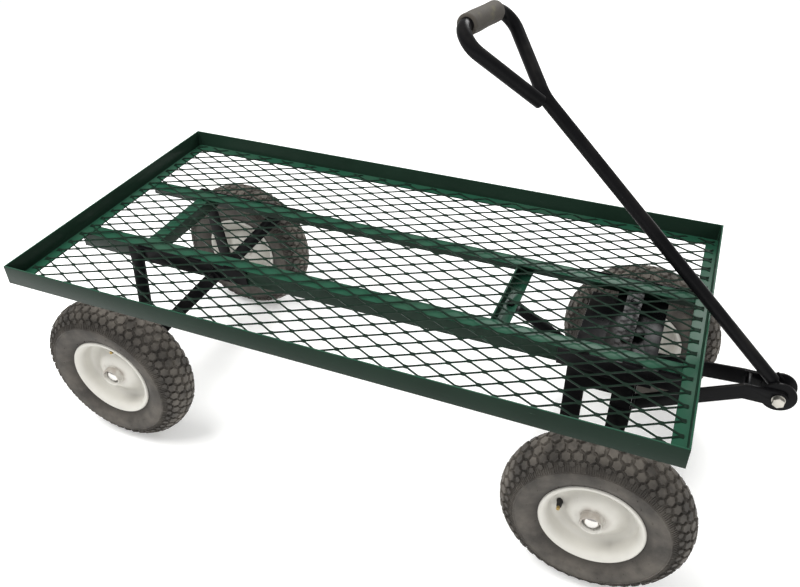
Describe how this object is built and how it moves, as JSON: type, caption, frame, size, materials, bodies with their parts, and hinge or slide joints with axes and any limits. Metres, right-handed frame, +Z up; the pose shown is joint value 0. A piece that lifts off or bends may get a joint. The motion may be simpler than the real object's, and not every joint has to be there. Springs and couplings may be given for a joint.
{
  "type": "garden cart",
  "caption": "Flat four-wheeled garden cart: expanded-metal deck in a green angle-iron frame, pneumatic tyres, swivelling front truck, V tongue and folding pull handle with a D grip.",
  "frame": {"origin": "on the ground, in the middle of the whole cart's length and width with the handle parked", "axes": "+X to the tongue, the way the cart is pulled; +Y to the cart's left; +Z up"},
  "size_m": [1.397, 0.63, 0.8817],
  "materials": {
    "green_paint": "gloss powder coat",
    "black_paint": "gloss enamel",
    "almond_paint": "satin enamel",
    "zinc_steel": "zinc plated",
    "chrome_cap": "polished",
    "tyre_rubber": "dusty matt",
    "valve_rubber": "satin",
    "grip_foam": "matt"
  },
  "bodies": {
    "frame": {"rim_left": "green_paint", "rim_right": "green_paint", "rim_front": "green_paint", "rim_rear": "green_paint", "deck_mesh": "green_paint", "rail_left": "green_paint", "rail_right": "green_paint", "rear_crossbar": "green_paint", "middle_crossbar": "green_paint", "front_bolster": "green_paint", "rear_side_bar_left": "black_paint", "rear_side_bar_right": "black_paint", "rear_post_left": "black_paint", "rear_post_right": "black_paint", "rear_brace_left": "black_paint", "rear_brace_right": "black_paint", "rear_axle": "black_paint", "rear_axle_sleeves": "black_paint", "front_side_bar_left": "black_paint", "front_side_bar_right": "black_paint", "fixed_plate": "black_paint", "king_bolt": "zinc_steel", "king_brace": "black_paint", "frame_bolts": "zinc_steel", "rear_caps": "chrome_cap", "rear_collars": "zinc_steel"},
    "truck": {"turn_plate": "black_paint", "truck_frame_left": "black_paint", "truck_frame_right": "black_paint", "truck_crossbar": "black_paint", "front_axle": "black_paint", "front_caps": "chrome_cap", "front_collars": "zinc_steel", "tongue_strap_left": "black_paint", "tongue_strap_right": "black_paint", "tongue_spacer": "black_paint", "tongue_bolts": "zinc_steel", "pivot_bolt": "zinc_steel"},
    "handle": {"handle_fork": "black_paint", "handle_tube": "black_paint", "handle_grip": "grip_foam"},
    "wheel_fl": {"tyre_fl": "tyre_rubber", "rim_fl": "almond_paint", "hub_fl": "zinc_steel", "valve_fl": "valve_rubber"},
    "wheel_fr": {"tyre_fr": "tyre_rubber", "rim_fr": "almond_paint", "hub_fr": "zinc_steel", "valve_fr": "valve_rubber"},
    "wheel_rl": {"tyre_rl": "tyre_rubber", "rim_rl": "almond_paint", "hub_rl": "zinc_steel", "valve_rl": "valve_rubber"},
    "wheel_rr": {"tyre_rr": "tyre_rubber", "rim_rr": "almond_paint", "hub_rr": "zinc_steel", "valve_rr": "valve_rubber"}
  },
  "joints": [
    {"name": "steer", "type": "hinge", "parent": "frame", "child": "truck", "pos_m": [0.4245, 0, 0.161], "axis": [0, 0, 1], "range_deg": [-18, 18]},
    {"name": "handle_swing", "type": "hinge", "parent": "truck", "child": "handle", "pos_m": [0.6695, 0, 0.294], "axis": [0, 1, 0], "range_deg": [0, 152]},
    {"name": "wheel_fl_spin", "type": "hinge", "parent": "truck", "child": "wheel_fl", "pos_m": [0.4245, 0.249, 0.161], "axis": [0, 1, 0], "continuous": true},
    {"name": "wheel_fr_spin", "type": "hinge", "parent": "truck", "child": "wheel_fr", "pos_m": [0.4245, -0.249, 0.161], "axis": [0, 1, 0], "continuous": true},
    {"name": "wheel_rl_spin", "type": "hinge", "parent": "frame", "child": "wheel_rl", "pos_m": [-0.5375, 0.249, 0.161], "axis": [0, 1, 0], "continuous": true},
    {"name": "wheel_rr_spin", "type": "hinge", "parent": "frame", "child": "wheel_rr", "pos_m": [-0.5375, -0.249, 0.161], "axis": [0, 1, 0], "continuous": true}
  ]
}
